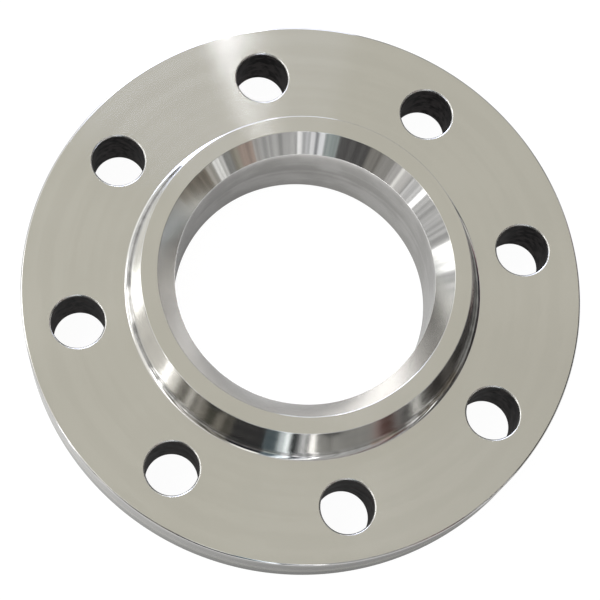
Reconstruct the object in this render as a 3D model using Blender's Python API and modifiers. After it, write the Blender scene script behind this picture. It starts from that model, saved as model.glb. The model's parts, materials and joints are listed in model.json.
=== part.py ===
"""Weld neck flange, machined all over from one stainless steel forging.

Metres, +Z up. The flat gasket face lies on z = 0, the hub points up and the bore runs along Z.
Plate, hub and weld end are one piece of metal, so the whole flange is a single solid.
"""

import math

import bpy

# Plate with the bolt holes: nominal size 100, pressure class 40.
OUTSIDE_DIAMETER = 0.235
PLATE_THICKNESS = 0.026
RIM_CHAMFER = 0.001

# Hub, which stands on the plate and tapers towards its weld end.
HUB_BASE_DIAMETER = 0.146
HUB_END_DIAMETER = 0.136
HUB_FILLET_RADIUS = 0.0025
OVERALL_HEIGHT = 0.046

# Waterway: a straight bore that opens in a cone at the weld end.
BORE_DIAMETER = 0.1079
BORE_EDGE_CHAMFER = 0.001
CONE_MOUTH_DIAMETER = 0.122
CONE_DEPTH = 0.008

# Bolting: the holes straddle the X and Y axes.
BOLT_CIRCLE_DIAMETER = 0.190
BOLT_HOLE_DIAMETER = 0.022
BOLT_HOLE_CHAMFER = 0.0005
BOLT_HOLE_COUNT = 8

# Facets of the round surfaces.
BODY_STEPS = 96
HOLE_STEPS = 40
FILLET_SEGMENTS = 8
MERGE_DISTANCE = 0.0001
CUTTER_OVERRUN = 0.002
SHARP_EDGE_ANGLE = math.radians(30)

STEEL_COLOUR = (0.62, 0.61, 0.58, 1.0)
STEEL_ROUGHNESS = 0.22


def clear_scene():
    """Remove every object, so that the script always starts from nothing."""
    for old_object in list(bpy.data.objects):
        bpy.data.objects.remove(old_object, do_unlink=True)


def make_collection(name):
    """Return a new collection linked to the scene."""
    collection = bpy.data.collections.new(name)
    bpy.context.scene.collection.children.link(collection)
    return collection


def make_material(name, colour, roughness):
    """Return a bare metal material."""
    material = bpy.data.materials.new(name)
    material.use_nodes = True
    shader = material.node_tree.nodes["Principled BSDF"]
    shader.inputs["Base Color"].default_value = colour
    shader.inputs["Metallic"].default_value = 1.0
    shader.inputs["Roughness"].default_value = roughness
    return material


def arc_points(centre, radius, start_angle, end_angle, segments):
    """Return points along an arc in the XZ plane, with angles counted from +X."""
    points = []
    for index in range(segments + 1):
        angle = start_angle + (end_angle - start_angle) * index / segments
        x = centre[0] + radius * math.cos(angle)
        z = centre[1] + radius * math.sin(angle)
        points.append((x, z))
    return points


def hub_fillet_points():
    """Return the concave fillet that blends the tapered hub wall into the plate."""
    base_radius = HUB_BASE_DIAMETER / 2
    hub_height = OVERALL_HEIGHT - PLATE_THICKNESS
    draft = math.atan((HUB_BASE_DIAMETER - HUB_END_DIAMETER) / 2 / hub_height)
    offset = HUB_FILLET_RADIUS * (1 - math.sin(draft)) / math.cos(draft)
    centre = (base_radius + offset, PLATE_THICKNESS + HUB_FILLET_RADIUS)
    on_wall = math.pi + draft
    on_plate = 1.5 * math.pi
    return arc_points(centre, HUB_FILLET_RADIUS, on_wall, on_plate, FILLET_SEGMENTS)


def flange_profile():
    """Return the closed half section: down the outer side, then up through the bore."""
    rim = OUTSIDE_DIAMETER / 2
    bore = BORE_DIAMETER / 2
    return [
        (HUB_END_DIAMETER / 2, OVERALL_HEIGHT),
        *hub_fillet_points(),
        (rim - RIM_CHAMFER, PLATE_THICKNESS),
        (rim, PLATE_THICKNESS - RIM_CHAMFER),
        (rim, RIM_CHAMFER),
        (rim - RIM_CHAMFER, 0.0),
        (bore + BORE_EDGE_CHAMFER, 0.0),
        (bore, BORE_EDGE_CHAMFER),
        (bore, OVERALL_HEIGHT - CONE_DEPTH),
        (CONE_MOUTH_DIAMETER / 2, OVERALL_HEIGHT),
    ]


def bolt_hole_profile():
    """Return half the section of one bolt hole, which flares at 45 degrees at both mouths."""
    hole = BOLT_HOLE_DIAMETER / 2
    flare = hole + BOLT_HOLE_CHAMFER + CUTTER_OVERRUN
    top = PLATE_THICKNESS + CUTTER_OVERRUN
    return [
        (0.0, top),
        (flare, top),
        (hole, PLATE_THICKNESS - BOLT_HOLE_CHAMFER),
        (hole, BOLT_HOLE_CHAMFER),
        (flare, -CUTTER_OVERRUN),
        (0.0, -CUTTER_OVERRUN),
    ]


def turned_object(name, profile, closed, steps, collection):
    """Return an object whose profile, in the XZ plane, is turned once about Z."""
    count = len(profile)
    vertices = [(x, 0.0, z) for x, z in profile]
    edges = [(index, index + 1) for index in range(count - 1)]
    if closed:
        edges.append((count - 1, 0))
    mesh = bpy.data.meshes.new(name)
    mesh.from_pydata(vertices, edges, [])
    turned = bpy.data.objects.new(name, mesh)
    collection.objects.link(turned)
    screw = turned.modifiers.new("turn", "SCREW")
    screw.axis = "Z"
    screw.steps = steps
    screw.render_steps = steps
    screw.use_merge_vertices = True
    screw.merge_threshold = MERGE_DISTANCE
    return turned


def make_bolt_hole_cutters(collection):
    """Place one cutter for each bolt hole on the bolt circle."""
    for index in range(BOLT_HOLE_COUNT):
        angle = (index + 0.5) * 2 * math.pi / BOLT_HOLE_COUNT
        name = f"bolt_hole_cutter_{index + 1}"
        cutter = turned_object(name, bolt_hole_profile(), False, HOLE_STEPS, collection)
        cutter.location.x = BOLT_CIRCLE_DIAMETER / 2 * math.cos(angle)
        cutter.location.y = BOLT_CIRCLE_DIAMETER / 2 * math.sin(angle)
        cutter.rotation_euler.z = angle
        cutter.hide_render = True
        cutter.display_type = "WIRE"


def apply_modifiers(target):
    """Replace the object's mesh with its evaluated one."""
    bpy.context.view_layer.update()
    depsgraph = bpy.context.evaluated_depsgraph_get()
    mesh = bpy.data.meshes.new_from_object(target.evaluated_get(depsgraph))
    target.modifiers.clear()
    target.data = mesh


def make_flange(collection, cutters):
    """Turn the forging, drill its bolt holes and shade its round surfaces smooth."""
    flange = turned_object("flange_forging", flange_profile(), True, BODY_STEPS, collection)
    drilling = flange.modifiers.new("bolt_holes", "BOOLEAN")
    drilling.operation = "DIFFERENCE"
    drilling.solver = "EXACT"
    drilling.operand_type = "COLLECTION"
    drilling.collection = cutters
    apply_modifiers(flange)
    flange.data.name = "flange_forging"
    flange.data.materials.clear()
    flange.data.materials.append(make_material("stainless_steel", STEEL_COLOUR, STEEL_ROUGHNESS))
    flange.data.shade_smooth()
    flange.data.set_sharp_from_angle(angle=SHARP_EDGE_ANGLE)
    return flange


def main():
    clear_scene()
    parts = make_collection("weld_neck_flange")
    cutters = make_collection("cutters")
    make_bolt_hole_cutters(cutters)
    make_flange(parts, cutters)


main()
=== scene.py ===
"""Weld neck flange in a small photo studio: one turned and drilled stainless steel piece.

Metres, +Z up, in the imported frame. The gasket face lies on z = 0 and the bore runs along Z.
Bearings are counter-clockwise seen from above, in degrees, counted from the camera's side.
"""

import json
import math

import bmesh
import bpy
from mathutils import Matrix, Vector

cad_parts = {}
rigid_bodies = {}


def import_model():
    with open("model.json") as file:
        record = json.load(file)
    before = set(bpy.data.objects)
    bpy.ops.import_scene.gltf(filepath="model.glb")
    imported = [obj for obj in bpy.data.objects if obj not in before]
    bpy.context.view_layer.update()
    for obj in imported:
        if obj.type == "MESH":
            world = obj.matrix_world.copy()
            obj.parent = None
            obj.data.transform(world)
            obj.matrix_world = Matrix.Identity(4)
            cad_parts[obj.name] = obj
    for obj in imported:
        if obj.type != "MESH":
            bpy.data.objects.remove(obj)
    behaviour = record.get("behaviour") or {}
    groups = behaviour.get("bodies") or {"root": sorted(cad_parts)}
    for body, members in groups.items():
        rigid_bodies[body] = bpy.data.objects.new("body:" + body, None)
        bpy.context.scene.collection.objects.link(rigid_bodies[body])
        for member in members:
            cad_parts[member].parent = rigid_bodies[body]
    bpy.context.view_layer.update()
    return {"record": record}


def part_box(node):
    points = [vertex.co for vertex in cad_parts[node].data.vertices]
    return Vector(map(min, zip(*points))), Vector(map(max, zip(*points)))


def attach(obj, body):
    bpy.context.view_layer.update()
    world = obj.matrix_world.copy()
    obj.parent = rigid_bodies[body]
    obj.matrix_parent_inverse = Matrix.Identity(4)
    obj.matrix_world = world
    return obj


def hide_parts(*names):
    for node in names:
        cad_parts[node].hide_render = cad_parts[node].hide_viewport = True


PART_NODE = "flange_forging"

# Turned profile. Height, diameter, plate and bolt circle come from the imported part.
HUB_END_RADIUS = 0.0680
HUB_BASE_RADIUS = 0.0730
HUB_FILLET = 0.0025
BORE_RADIUS = 0.05395
CONE_MOUTH_RADIUS = 0.0610
CONE_DEPTH = 0.0080
RIM_ROUND = 0.0008
BORE_EDGE_BREAK = 0.0010
SMALL_ROUND = 0.00025
CONE_ROUND = 0.0003
FILLET_STEPS = 20
RIM_STEPS = 8
ROUND_STEPS = 4
BODY_STEPS = 432

# Bolt holes, half a pitch off the X axis.
BOLT_HOLE_COUNT = 8
BOLT_HOLE_RADIUS = 0.0110
BOLT_MOUTH_ROUND = 0.0010
HOLE_STEPS = 72
CUTTER_OVERRUN = 0.002
MOUTH_STEPS = 8
# Below 1 the arc of a mouth runs a little past the face, which keeps the cut's edge clean.
MOUTH_DEPTH = 0.97

# A radius below ON_AXIS counts as nought. Edges that turn more than SHARP_ANGLE degrees stay sharp.
ON_AXIS = 1e-9
SHARP_ANGLE = 28.0
SHADING_WEIGHT = 100

# Camera, from the photograph's perspective. Its own bearing is counted from the X axis.
CAMERA_BEARING = 266.98
CAMERA_ELEVATION = 73.07
CAMERA_DISTANCE = 0.7999
CAMERA_AIM = (-0.0001, -0.0057, 0.0230)
CAMERA_ROLL = 15.38
CAMERA_LENS = 111.13
CAMERA_SENSOR = 36.0
CAMERA_NEAR = 0.01
CAMERA_FAR = 50.0

# Finishes: lighter metal, darker metal, (smooth, rough), anisotropy, (grooves per metre, bump strength)
# and cloudy patches per metre.
FINISHES = {
    "turned_face": ((0.62, 0.612, 0.585), (0.605, 0.597, 0.57),
                    (0.110, 0.115), 1.0, (2500.0, 0.12), 60.0),
    "polished_hub": ((0.64, 0.635, 0.625), (0.61, 0.605, 0.60),
                     (0.09, 0.13), 0.9, (2500.0, 0.10), 60.0),
    "brushed_bore": ((0.60, 0.59, 0.57), (0.46, 0.45, 0.43),
                     (0.17, 0.25), 0.2, (1500.0, 0.5), 60.0),
    "turned_rim": ((0.58, 0.575, 0.55), (0.50, 0.495, 0.475),
                   (0.20, 0.30), 0.8, (1800.0, 0.4), 60.0),
    # The bolt holes' near-black metal is painted shade inside the holes, not the steel's own colour.
    "drilled_hole_shade": ((0.150, 0.135, 0.135), (0.006, 0.005, 0.006),
                     (0.30, 0.5), 0.0, (3000.0, 0.6), 300.0),
    "hole_edge": ((0.66, 0.655, 0.64), (0.60, 0.595, 0.58),
                  (0.22, 0.3), 0.0, (1500.0, 0.1), 200.0),
    "serrated_face": ((0.58, 0.57, 0.55), (0.52, 0.515, 0.50),
                      (0.25, 0.35), 0.9, (1250.0, 1.0), 60.0),
}
SURFACES = tuple(FINISHES)

# The metal's pattern: grooves that waver a little, gathered in bands, under soft clouds.
WAVER_SCALE = 30.0
WAVER_REACH = 0.0001
GROOVES_PER_BAND = 14
GROOVE_DEPTH = 0.00002
GROOVE_DETAIL = 3.0
BAND_DETAIL = 2.0
CLOUD_DETAIL = 4.0
TINT_RANGE = (0.40, 0.60)
ROUGHNESS_RANGE = (0.3, 0.7)
QUARTER_TURN = 0.25

# Blender gives these sockets of the Mix node the same names for every data type.
MIX_COLOURS = (6, 7)
MIX_COLOUR_RESULT = 2
MIX_FLOATS = (2, 3)
MIX_FLOAT_RESULT = 0


# ---------------------------------------------------------------- geometry

def rounded(corners):
    """Round the corners of a closed outline. Each corner is (r, z, radius, steps, surface after it)."""
    outline = []
    count = len(corners)
    for index, (r, z, radius, steps, surface) in enumerate(corners):
        corner = Vector((r, z))
        before = corners[index - 1]
        after = corners[(index + 1) % count]
        to_before = (Vector(before[:2]) - corner).normalized()
        to_after = (Vector(after[:2]) - corner).normalized()
        half = to_before.angle(to_after) / 2
        bisector = (to_before + to_after).normalized()
        centre = corner + bisector * (radius / math.sin(half))
        first = corner + to_before * (radius / math.tan(half)) - centre
        last = corner + to_after * (radius / math.tan(half)) - centre
        sweep = first.angle(last)
        turn = math.copysign(1.0, first.x * last.y - first.y * last.x)
        # Larger rounds are polished. The smallest keep the surface before them.
        arc_surface = "polished_hub" if radius > SMALL_ROUND else before[4]
        for step in range(steps + 1):
            angle = turn * sweep * step / steps
            spoke = Matrix.Rotation(angle, 2) @ first
            mark = surface if step == steps else arc_surface
            outline.append((centre + spoke, mark))
    return outline


def turned_mesh(name, outline, steps, closed):
    """Turn an outline of (point, surface) once about Z. Open outlines start and end on the axis."""
    mesh = bmesh.new()
    rings = []
    for point, _ in outline:
        if point.x < ON_AXIS:
            rings.append([mesh.verts.new((0.0, 0.0, point.y))] * steps)
            continue
        ring = []
        for step in range(steps):
            angle = 2 * math.pi * step / steps
            ring.append(mesh.verts.new((point.x * math.cos(angle), point.x * math.sin(angle), point.y)))
        rings.append(ring)
    last = len(outline) if closed else len(outline) - 1
    for index in range(last):
        here, there = rings[index], rings[(index + 1) % len(outline)]
        surface = SURFACES.index(outline[index][1])
        for step in range(steps):
            after = (step + 1) % steps
            loop = [here[step], there[step], there[after], here[after]]
            unique = list(dict.fromkeys(loop))
            face = mesh.faces.new(unique)
            face.material_index = surface
    bmesh.ops.recalc_face_normals(mesh, faces=mesh.faces)
    data = bpy.data.meshes.new(name)
    mesh.to_mesh(data)
    mesh.free()
    return data


def flange_outline(rim_radius, plate_top, height):
    """Return the half section, from the hub's outer edge out over the plate and back through the bore."""
    return rounded([
        (HUB_END_RADIUS, height, CONE_ROUND, ROUND_STEPS, "polished_hub"),
        (HUB_BASE_RADIUS, plate_top, HUB_FILLET, FILLET_STEPS, "turned_face"),
        (rim_radius, plate_top, RIM_ROUND, RIM_STEPS, "turned_rim"),
        (rim_radius, 0.0, RIM_ROUND, RIM_STEPS, "serrated_face"),
        (BORE_RADIUS + BORE_EDGE_BREAK, 0.0, SMALL_ROUND, ROUND_STEPS, "brushed_bore"),
        (BORE_RADIUS, BORE_EDGE_BREAK, SMALL_ROUND, ROUND_STEPS, "brushed_bore"),
        (BORE_RADIUS, height - CONE_DEPTH, CONE_ROUND, ROUND_STEPS, "polished_hub"),
        (CONE_MOUTH_RADIUS, height, CONE_ROUND, ROUND_STEPS, "turned_face"),
    ])


def mouth_arc(corner_z, outward):
    """Return the rounded mouth of a bolt hole, from its wall out through the face at corner_z."""
    arc = []
    centre_z = corner_z - outward * BOLT_MOUTH_ROUND * MOUTH_DEPTH
    centre = Vector((BOLT_HOLE_RADIUS + BOLT_MOUTH_ROUND, centre_z))
    for step in range(MOUTH_STEPS + 1):
        angle = math.pi / 2 * step / MOUTH_STEPS
        spoke = Vector((-math.cos(angle), outward * math.sin(angle))) * BOLT_MOUTH_ROUND
        arc.append((centre + spoke, "hole_edge"))
    return arc


def hole_outline(plate_top):
    """Return half the section of one bolt hole's cutter, which is rounded at both mouths."""
    over = CUTTER_OVERRUN
    flare = BOLT_HOLE_RADIUS + BOLT_MOUTH_ROUND
    upper = mouth_arc(plate_top, 1.0)[::-1]
    lower = mouth_arc(0.0, -1.0)
    # The hole's wall, with its painted shade, starts at the last point of the upper arc.
    upper[-1] = (upper[-1][0], "drilled_hole_shade")
    return [
        (Vector((0.0, plate_top + over)), "hole_edge"),
        (Vector((flare, plate_top + over)), "hole_edge"),
        *upper,
        *lower,
        (Vector((flare, -over)), "hole_edge"),
        (Vector((0.0, -over)), "hole_edge"),
    ]


def place_cutters(cutter_mesh, circle_radius):
    """Return a collection with a cutter at every bolt hole."""
    cutters = bpy.data.collections.new("bolt_hole_cutters")
    for index in range(BOLT_HOLE_COUNT):
        angle = (index + 0.5) * 2 * math.pi / BOLT_HOLE_COUNT
        cutter = bpy.data.objects.new(f"bolt_hole_{index + 1}", cutter_mesh)
        cutter.location = (circle_radius * math.cos(angle), circle_radius * math.sin(angle), 0.0)
        cutter.rotation_euler.z = angle
        cutters.objects.link(cutter)
    return cutters


def drilled_mesh(body, cutters):
    """Return the body's mesh with the cutters taken out of it, and remove both."""
    scene = bpy.context.scene.collection
    scene.objects.link(body)
    scene.children.link(cutters)
    drill = body.modifiers.new("drill", "BOOLEAN")
    drill.operation = "DIFFERENCE"
    drill.solver = "EXACT"
    drill.operand_type = "COLLECTION"
    drill.collection = cutters
    bpy.context.view_layer.update()
    depsgraph = bpy.context.evaluated_depsgraph_get()
    drilled = bpy.data.meshes.new_from_object(body.evaluated_get(depsgraph), depsgraph=depsgraph)
    for cutter in list(cutters.objects):
        bpy.data.objects.remove(cutter, do_unlink=True)
    bpy.data.collections.remove(cutters)
    bpy.data.objects.remove(body, do_unlink=True)
    return drilled


def mark_sharp_edges(mesh_data):
    """Mark the edges that shading must not smooth over."""
    mesh = bmesh.new()
    mesh.from_mesh(mesh_data)
    for edge in mesh.edges:
        if len(edge.link_faces) == 2:
            edge.smooth = edge.calc_face_angle(0.0) < math.radians(SHARP_ANGLE)
    mesh.to_mesh(mesh_data)
    mesh.free()


def make_flange(rim_radius, plate_top, height, circle_radius, materials):
    """Turn the body, drill the bolt holes and return the finished object."""
    body_mesh = turned_mesh("flange_body", flange_outline(rim_radius, plate_top, height), BODY_STEPS, True)
    body = bpy.data.objects.new("flange_body", body_mesh)
    cutter_mesh = turned_mesh("bolt_hole", hole_outline(plate_top), HOLE_STEPS, False)
    for mesh in (body_mesh, cutter_mesh):
        for material in materials:
            mesh.materials.append(material)
    drilled = drilled_mesh(body, place_cutters(cutter_mesh, circle_radius))
    flange = bpy.data.objects.new("flange_machined", drilled)
    bpy.context.scene.collection.objects.link(flange)
    for polygon in drilled.polygons:
        polygon.use_smooth = True
    mark_sharp_edges(drilled)
    weighted = flange.modifiers.new("even_shading", "WEIGHTED_NORMAL")
    weighted.keep_sharp = True
    weighted.weight = SHADING_WEIGHT
    return flange


# ---------------------------------------------------------------- node helpers

class Nodes:
    """Short calls for building a node tree."""

    def __init__(self, tree):
        self.tree = tree
        tree.nodes.clear()

    def add(self, kind, **settings):
        """Add a node and set its properties."""
        node = self.tree.nodes.new(kind)
        for name, value in settings.items():
            setattr(node, name, value)
        return node

    def feed(self, socket, value):
        """Link an output to the socket, or set its plain value."""
        if isinstance(value, bpy.types.NodeSocket):
            self.tree.links.new(value, socket)
        else:
            socket.default_value = value

    def math(self, operation, first, second=0.0):
        """Return a Math node's result."""
        node = self.add("ShaderNodeMath", operation=operation)
        self.feed(node.inputs[0], first)
        self.feed(node.inputs[1], second)
        return node.outputs[0]

    def vector(self, operation, first, second=(0.0, 0.0, 0.0)):
        """Return a Vector Math node's vector result."""
        node = self.add("ShaderNodeVectorMath", operation=operation)
        self.feed(node.inputs[0], first)
        self.feed(node.inputs[1], second)
        return node.outputs["Vector"]

    def measure(self, operation, first, second=(0.0, 0.0, 0.0)):
        """Return a Vector Math node's number."""
        node = self.add("ShaderNodeVectorMath", operation=operation)
        self.feed(node.inputs[0], first)
        self.feed(node.inputs[1], second)
        return node.outputs["Value"]

    def scaled(self, vector, factor):
        """Return a vector times a number."""
        node = self.add("ShaderNodeVectorMath", operation="SCALE")
        self.feed(node.inputs[0], vector)
        self.feed(node.inputs["Scale"], factor)
        return node.outputs["Vector"]

    def level(self, vector):
        """Return a vector with its Z set to nought."""
        return self.vector("MULTIPLY", vector, (1.0, 1.0, 0.0))

    def height(self, vector):
        """Return a vector's Z."""
        split = self.add("ShaderNodeSeparateXYZ")
        self.feed(split.inputs[0], vector)
        return split.outputs["Z"]

    def ramp(self, value, low, high, to_low=0.0, to_high=1.0, smooth=True):
        """Map a value from low..high to another range, clamped."""
        node = self.add("ShaderNodeMapRange", clamp=True)
        node.interpolation_type = "SMOOTHSTEP" if smooth else "LINEAR"
        self.feed(node.inputs["Value"], value)
        self.feed(node.inputs["From Min"], low)
        self.feed(node.inputs["From Max"], high)
        self.feed(node.inputs["To Min"], to_low)
        self.feed(node.inputs["To Max"], to_high)
        return node.outputs["Result"]

    def mix(self, share, first, second):
        """Return a colour between two colours."""
        node = self.add("ShaderNodeMix", data_type="RGBA")
        self.feed(node.inputs["Factor"], share)
        for socket, colour in zip(MIX_COLOURS, (first, second)):
            self.feed(node.inputs[socket], (*colour, 1.0) if isinstance(colour, tuple) else colour)
        return node.outputs[MIX_COLOUR_RESULT]

    def choose(self, share, first, second):
        """Return a number between two numbers."""
        node = self.add("ShaderNodeMix", data_type="FLOAT")
        self.feed(node.inputs["Factor"], share)
        for socket, value in zip(MIX_FLOATS, (first, second)):
            self.feed(node.inputs[socket], value)
        return node.outputs[MIX_FLOAT_RESULT]

    def noise(self, vector, scale, detail=2.0, dimensions="3D"):
        """Return a noise texture's grey value."""
        node = self.add("ShaderNodeTexNoise", noise_dimensions=dimensions)
        if dimensions == "1D":
            self.feed(node.inputs["W"], vector)
        else:
            self.feed(node.inputs["Vector"], vector)
        node.inputs["Scale"].default_value = scale
        node.inputs["Detail"].default_value = detail
        return node.outputs["Fac"]


# ---------------------------------------------------------------- materials

def steel(name, tint, shade, roughness, anisotropy, lay, grain):
    """Return bare steel with a lay round the flange's axis. FINISHES says what the values are."""
    material = bpy.data.materials.new(name)
    material.use_nodes = True
    nodes = Nodes(material.node_tree)
    output = nodes.add("ShaderNodeOutputMaterial")
    shader = nodes.add("ShaderNodeBsdfPrincipled")
    nodes.feed(output.inputs["Surface"], shader.outputs["BSDF"])
    place = nodes.add("ShaderNodeTexCoord").outputs["Object"]
    # The way along the turned profile: outwards over the faces and down the walls.
    along = nodes.math("SUBTRACT", nodes.measure("LENGTH", nodes.level(place)), nodes.height(place))
    waver = nodes.math("MULTIPLY", nodes.noise(place, WAVER_SCALE), WAVER_REACH)
    track = nodes.math("ADD", along, waver)
    grooves_per_metre, bump_strength = lay
    grooves = nodes.noise(track, grooves_per_metre, GROOVE_DETAIL, "1D")
    bands = nodes.noise(track, grooves_per_metre / GROOVES_PER_BAND, BAND_DETAIL, "1D")
    clouds = nodes.noise(place, grain, CLOUD_DETAIL)
    share = nodes.math("MULTIPLY", nodes.math("ADD", clouds, bands), 0.5)
    nodes.feed(shader.inputs["Base Color"], nodes.mix(nodes.ramp(share, *TINT_RANGE), shade, tint))
    nodes.feed(shader.inputs["Roughness"], nodes.ramp(bands, *ROUGHNESS_RANGE, *roughness))
    shader.inputs["Metallic"].default_value = 1.0
    shader.inputs["Anisotropic"].default_value = anisotropy
    shader.inputs["Anisotropic Rotation"].default_value = QUARTER_TURN
    tangent = nodes.add("ShaderNodeTangent", direction_type="RADIAL", axis="Z")
    nodes.feed(shader.inputs["Tangent"], tangent.outputs["Tangent"])
    bump = nodes.add("ShaderNodeBump")
    bump.inputs["Strength"].default_value = bump_strength
    bump.inputs["Distance"].default_value = GROOVE_DEPTH
    nodes.feed(bump.inputs["Height"], grooves)
    nodes.feed(shader.inputs["Normal"], bump.outputs["Normal"])
    return material


# ---------------------------------------------------------------- studio

CEILING = (0.725, 0.708, 0.632)
BACKDROP = (1.0, 1.0, 1.0)
EDGE_SOFTNESS = 0.7
BAND_SOFTNESS = 4.0

# The room below the ceiling, in two storeys. Each strip is (middle bearing, width, radiance).
LOWER_BASE = (0.30, 0.30, 0.29)
LOWER_STRIPS = (
    (-95.0, 70.0, (0.85, 0.85, 0.84)),
    (-83.5, 13.5, (2.20, 2.20, 2.16)),
    (-62.5, 26.0, (0.62, 0.62, 0.61)),
    (-50.2, 2.8, (2.20, 2.20, 2.20)),
    (-45.0, 6.5, (0.90, 0.90, 0.89)),
    (-35.0, 12.0, (0.62, 0.61, 0.59)),
    (-35.5, 3.0, (1.05, 1.04, 1.00)),
    (-26.0, 7.0, (0.38, 0.37, 0.35)),
    (-18.5, 8.0, (0.26, 0.25, 0.23)),
    (-6.3, 17.0, (0.125, 0.122, 0.12)),
    (5.7, 7.0, (0.40, 0.45, 0.44)),
    (16.5, 14.0, (0.68, 0.69, 0.70)),
    (11.0, 2.4, (1.10, 1.12, 1.15)),
    (13.7, 1.2, (0.35, 0.36, 0.38)),
    (15.9, 1.8, (1.00, 1.00, 1.02)),
    (22.8, 2.6, (1.20, 1.20, 1.20)),
    (34.5, 20.0, (0.50, 0.50, 0.49)),
    (46.0, 3.0, (0.57, 0.56, 0.54)),
    (51.7, 8.0, (0.45, 0.36, 0.31)),
    (57.7, 4.0, (0.33, 0.31, 0.26)),
    (67.0, 6.0, (1.15, 1.15, 1.12)),
    (65.8, 0.8, (0.60, 0.60, 0.58)),
    (72.0, 4.0, (0.54, 0.52, 0.47)),
    (83.5, 19.0, (0.21, 0.185, 0.15)),
    (94.0, 4.0, (0.32, 0.31, 0.29)),
)
UPPER_BASE = (0.45, 0.45, 0.42)
UPPER_STRIPS = (
    (-114.0, 50.0, (0.90, 0.90, 0.88)),
    (-70.0, 42.0, (1.20, 1.18, 1.12)),
    (-57.0, 3.0, (6.00, 6.00, 6.00)),
    (-31.8, 33.0, (0.36, 0.34, 0.30)),
    (-43.5, 2.0, (0.20, 0.19, 0.17)),
    (-40.0, 2.6, (1.20, 1.18, 1.12)),
    (-37.3, 2.0, (0.15, 0.14, 0.12)),
    (-34.0, 2.2, (0.60, 0.58, 0.54)),
    (-27.0, 5.0, (0.10, 0.10, 0.08)),
    (-18.0, 4.0, (0.10, 0.095, 0.08)),
    (-7.0, 17.0, (0.02, 0.02, 0.025)),
    (4.7, 6.5, (0.14, 0.19, 0.22)),
    (11.0, 6.0, (1.15, 1.28, 1.35)),
    (12.6, 2.4, (2.60, 2.80, 2.90)),
    (15.8, 3.6, (0.01, 0.015, 0.02)),
    (20.0, 4.6, (0.60, 0.62, 0.66)),
    (20.3, 1.4, (1.90, 1.95, 2.00)),
    (22.8, 1.0, (0.02, 0.02, 0.03)),
    (25.2, 3.4, (3.20, 3.20, 3.20)),
    (41.0, 29.5, (0.50, 0.50, 0.49)),
    (57.5, 3.5, (0.50, 0.37, 0.36)),
    (63.0, 8.5, (0.16, 0.08, 0.07)),
    (69.0, 3.5, (0.56, 0.55, 0.56)),
    (98.5, 56.0, (0.02, 0.018, 0.018)),
    (79.5, 2.6, (3.00, 3.00, 2.95)),
    (84.0, 2.0, (0.36, 0.36, 0.35)),
    (88.5, 2.0, (0.30, 0.28, 0.27)),
    (100.7, 2.5, (0.33, 0.31, 0.30)),
    (105.7, 2.0, (0.27, 0.26, 0.24)),
    (119.7, 2.0, (0.23, 0.22, 0.22)),
    (129.7, 9.0, (0.01, 0.01, 0.02)),
    (136.3, 4.0, (0.14, 0.03, 0.04)),
    (142.5, 6.0, (1.00, 0.97, 0.93)),
    (148.0, 5.0, (0.12, 0.12, 0.11)),
)
STOREY_HEIGHT = 24.0
# Fine upright streaks all round the room.
STREAK_SCALE = 28.0
STREAK_DETAIL = 3.0
STREAK_CONTRAST = (0.35, 0.65)
STREAK_RANGE = (0.74, 1.26)
# The ceiling is a round opening that leans away from the camera and a little to its left.
CEILING_BEARING = -162.0
CEILING_LEAN = 18.0
CEILING_REACH = 21.0

# Lamps: (middle bearing, width, bottom, top, radiance). The last one is thin, and its reflection is the
# bright streak across the plate.
LAMPS = (
    (-9.0, 20.0, 64.0, 84.0, (1.8, 1.8, 1.7)),
    (-99.5, 17.0, 42.0, 66.0, (4.5, 4.5, 4.4)),
    (-124.0, 32.0, 42.0, 66.0, (1.4, 1.4, 1.35)),
    (-171.0, 13.0, 2.0, 56.0, (1.8, 1.9, 2.2)),
    (-160.5, 10.0, 2.0, 56.0, (2.1, 2.2, 2.7)),
    (-150.5, 12.0, 2.0, 56.0, (3.6, 3.8, 4.7)),
    (-140.5, 10.0, 2.0, 56.0, (5.2, 5.6, 7.0)),
    (-165.5, 0.8, 42.0, 61.0, (28.0, 28.5, 31.0)),
)

# The floor is white to the camera: FLOOR_SEEN is its glow there.
FLOOR_SIZE = 8.0
FLOOR_COLOUR = (0.12, 0.12, 0.12)
FLOOR_SEEN = 0.96
FLOOR_GAP = 0.0002
# Its glow in reflections is painted light and shade: bright in the middle of the bore, a painted contact
# shade round that and a painted shadow under the plate. Each fade is the stretch of distance from the axis
# over which one glow gives way to the next.
MIDDLE_GLOW = 1.55
MIDDLE_FADE = (0.029, 0.040)
BORE_GLOW = 0.22
BORE_FADE = (0.054, 0.058)
PLATE_GLOW = 0.11
RIM_FADE = (0.111, 0.117)
# Past the rim the glow grows with the distance from a point off the axis: a painted shadow round the rim,
# darkest on the near right. SHADE_GLOW is (start of the growth, its end, glow at the start, glow at the
# end).
SHADE_BEARING = 45.0
SHADE_DISTANCE = 0.020
SHADE_GLOW = (0.100, 0.130, 0.26, 0.80)
# Under the bore the glow also grows towards the right, seen from the camera, as painted light. RIGHT_GLOW
# is the same kind of row, counted from the axis.
RIGHT_BEARING = 105.0
RIGHT_GLOW = (-0.050, 0.050, 0.0, 0.27)
# A round patch of painted light under the near side of the bore glows more, but only on the left of the
# camera's vertical plane.
LIT_BEARING = -20.0
LIT_DISTANCE = 0.016
LIT_REACH = (0.031, 0.038)
LIT_GLOW = 3.2
LIT_SIDE_BEARING = -87.0
LIT_SIDE_EDGE = (-0.002, 0.003)


def across_floor(bearing):
    """Return the level direction of a bearing."""
    angle = math.radians(bearing + CAMERA_BEARING)
    return (math.cos(angle), math.sin(angle), 0.0)


def across_mask(nodes, heading, bearing, width):
    """Return 1 between two bearings and 0 outside, with soft edges."""
    towards = nodes.measure("DOT_PRODUCT", heading, across_floor(bearing))
    inner = math.cos(math.radians((width - EDGE_SOFTNESS) / 2))
    outer = math.cos(math.radians((width + EDGE_SOFTNESS) / 2))
    return nodes.ramp(towards, outer, inner)


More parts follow.
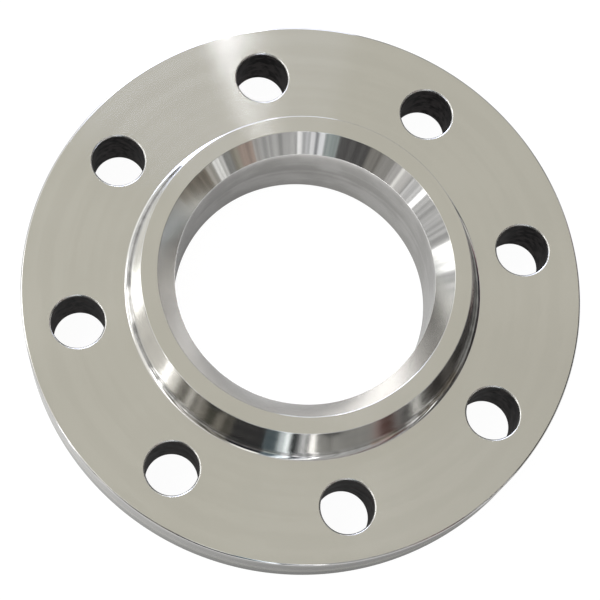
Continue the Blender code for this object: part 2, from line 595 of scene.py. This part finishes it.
def above_mask(nodes, height, elevation):
    """Return 1 above an elevation and 0 below it, with a soft edge."""
    low = math.sin(math.radians(elevation - BAND_SOFTNESS / 2))
    high = math.sin(math.radians(elevation + BAND_SOFTNESS / 2))
    return nodes.ramp(height, low, high)


def ceiling_mask(nodes, direction):
    """Return 1 inside the round ceiling and 0 outside, with a soft edge."""
    lean = math.radians(CEILING_LEAN)
    sideways = Vector(across_floor(CEILING_BEARING)) * math.sin(lean)
    middle = (sideways.x, sideways.y, math.cos(lean))
    outer = math.cos(math.radians(CEILING_REACH + BAND_SOFTNESS / 2))
    inner = math.cos(math.radians(CEILING_REACH - BAND_SOFTNESS / 2))
    return nodes.ramp(nodes.measure("DOT_PRODUCT", direction, middle), outer, inner)


def storey(nodes, heading, base, strips):
    """Return the colour round one storey of the room."""
    colour = base
    for bearing, width, radiance in strips:
        colour = nodes.mix(across_mask(nodes, heading, bearing, width), colour, radiance)
    return colour


def room_colour(nodes, direction):
    """Return the light that arrives from a direction."""
    heading = nodes.vector("NORMALIZE", nodes.level(direction))
    height = nodes.height(direction)
    lower = storey(nodes, heading, LOWER_BASE, LOWER_STRIPS)
    upper = storey(nodes, heading, UPPER_BASE, UPPER_STRIPS)
    colour = nodes.mix(above_mask(nodes, height, STOREY_HEIGHT), lower, upper)
    streaks = nodes.noise(heading, STREAK_SCALE, STREAK_DETAIL)
    colour = nodes.scaled(colour, nodes.ramp(streaks, *STREAK_CONTRAST, *STREAK_RANGE))
    colour = nodes.mix(ceiling_mask(nodes, direction), colour, CEILING)
    for bearing, width, bottom, top, radiance in LAMPS:
        across = across_mask(nodes, heading, bearing, width)
        above = above_mask(nodes, height, bottom)
        below = nodes.math("SUBTRACT", 1.0, above_mask(nodes, height, top))
        mask = nodes.math("MULTIPLY", across, nodes.math("MULTIPLY", above, below))
        colour = nodes.mix(mask, colour, radiance)
    return colour


def make_world():
    """Surround the part with the room, and show the camera a plain backdrop instead."""
    world = bpy.data.worlds.new("studio")
    bpy.context.scene.world = world
    world.use_nodes = True
    nodes = Nodes(world.node_tree)
    output = nodes.add("ShaderNodeOutputWorld")
    direction = nodes.add("ShaderNodeTexCoord").outputs["Generated"]
    light = nodes.add("ShaderNodeBackground")
    nodes.feed(light.inputs["Color"], room_colour(nodes, direction))
    backdrop = nodes.add("ShaderNodeBackground")
    nodes.feed(backdrop.inputs["Color"], (*BACKDROP, 1.0))
    path = nodes.add("ShaderNodeLightPath")
    chosen = nodes.add("ShaderNodeMixShader")
    nodes.feed(chosen.inputs["Fac"], path.outputs["Is Camera Ray"])
    nodes.feed(chosen.inputs[1], light.outputs["Background"])
    nodes.feed(chosen.inputs[2], backdrop.outputs["Background"])
    nodes.feed(output.inputs["Surface"], chosen.outputs["Shader"])


def distance_from(nodes, place, bearing, distance):
    """Return how far a place on the floor is from a point beside the axis."""
    point = tuple(distance * part for part in across_floor(bearing))
    return nodes.measure("DISTANCE", place, point)


def painted_floor_glow(nodes, place):
    """Return the floor's glow in reflections: painted light, and painted shadow round and under the part.
    """
    reach = nodes.measure("LENGTH", place)
    # Painted light in the middle of the bore, painted shade round its wall and painted shadow under the
    # plate.
    glow = nodes.ramp(reach, *MIDDLE_FADE, MIDDLE_GLOW, BORE_GLOW)
    glow = nodes.math("ADD", glow, nodes.ramp(reach, *BORE_FADE, 0.0, PLATE_GLOW - BORE_GLOW))
    glow = nodes.math("ADD", glow, nodes.ramp(reach, *RIM_FADE, 0.0, -PLATE_GLOW))

    # Painted shadow round the rim, darkest on the near right.
    past_rim = nodes.ramp(reach, *RIM_FADE)
    shade = nodes.ramp(distance_from(nodes, place, SHADE_BEARING, SHADE_DISTANCE), *SHADE_GLOW)
    glow = nodes.math("ADD", glow, nodes.math("MULTIPLY", shade, past_rim))

    # Painted light under the bore, stronger towards the right.
    under_bore = nodes.ramp(reach, *BORE_FADE, 1.0, 0.0)
    rightwards = nodes.measure("DOT_PRODUCT", place, across_floor(RIGHT_BEARING))
    right = nodes.ramp(rightwards, *RIGHT_GLOW, smooth=False)
    glow = nodes.math("ADD", glow, nodes.math("MULTIPLY", right, under_bore))

    # A painted pool of light under the near side of the bore.
    patch = nodes.ramp(distance_from(nodes, place, LIT_BEARING, LIT_DISTANCE), *LIT_REACH, LIT_GLOW, 0.0)
    leftwards = nodes.measure("DOT_PRODUCT", place, across_floor(LIT_SIDE_BEARING))
    return nodes.math("ADD", glow, nodes.math("MULTIPLY", patch, nodes.ramp(leftwards, *LIT_SIDE_EDGE)))


def make_floor(floor_z):
    """Lay a plain floor that is white to the camera and, in reflections, glows with painted light and
    shade.
    """
    mesh = bmesh.new()
    bmesh.ops.create_grid(mesh, x_segments=1, y_segments=1, size=FLOOR_SIZE / 2)
    data = bpy.data.meshes.new("floor")
    mesh.to_mesh(data)
    mesh.free()
    floor = bpy.data.objects.new("floor", data)
    floor.location.z = floor_z
    bpy.context.scene.collection.objects.link(floor)
    material = bpy.data.materials.new("floor")
    material.use_nodes = True
    nodes = Nodes(material.node_tree)
    output = nodes.add("ShaderNodeOutputMaterial")
    shader = nodes.add("ShaderNodeBsdfDiffuse")
    shader.inputs["Color"].default_value = (*FLOOR_COLOUR, 1.0)
    place = nodes.level(nodes.add("ShaderNodeTexCoord").outputs["Object"])
    seen = nodes.add("ShaderNodeLightPath").outputs["Is Camera Ray"]
    emission = nodes.add("ShaderNodeEmission")
    nodes.feed(emission.inputs["Strength"], nodes.choose(seen, painted_floor_glow(nodes, place), FLOOR_SEEN))
    both = nodes.add("ShaderNodeAddShader")
    nodes.feed(both.inputs[0], shader.outputs["BSDF"])
    nodes.feed(both.inputs[1], emission.outputs["Emission"])
    nodes.feed(output.inputs["Surface"], both.outputs["Shader"])
    data.materials.append(material)


def make_camera():
    """Place the camera where the photograph was taken from."""
    data = bpy.data.cameras.new("camera")
    data.lens = CAMERA_LENS
    data.sensor_width = CAMERA_SENSOR
    data.clip_start = CAMERA_NEAR
    data.clip_end = CAMERA_FAR
    camera = bpy.data.objects.new("camera", data)
    bpy.context.scene.collection.objects.link(camera)
    bearing = math.radians(CAMERA_BEARING)
    rise = math.radians(CAMERA_ELEVATION)
    level = CAMERA_DISTANCE * math.cos(rise)
    place = Vector((level * math.cos(bearing), level * math.sin(bearing), CAMERA_DISTANCE * math.sin(rise)))
    aim = (Vector(CAMERA_AIM) - place).to_track_quat("-Z", "Y").to_matrix().to_4x4()
    roll = Matrix.Rotation(math.radians(CAMERA_ROLL), 4, "Z")
    camera.matrix_world = Matrix.Translation(place) @ aim @ roll
    bpy.context.scene.camera = camera


def mount_place(record, name):
    """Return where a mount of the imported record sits."""
    for mount in record["mounts"]:
        if mount["name"] == name:
            return mount["pos_m"]
    raise KeyError(name)


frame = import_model()
part_low, part_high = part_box(PART_NODE)
bolt_circle_radius, _, plate_top_z = mount_place(frame["record"], "bolting_face")

finishes = [steel(name, *finish) for name, finish in FINISHES.items()]
flange = make_flange(part_high.x, plate_top_z, part_high.z, bolt_circle_radius, finishes)
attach(flange, "root")
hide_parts(PART_NODE)

make_world()
make_floor(part_low.z - FLOOR_GAP)
make_camera()
bpy.context.scene.view_settings.view_transform = "Standard"
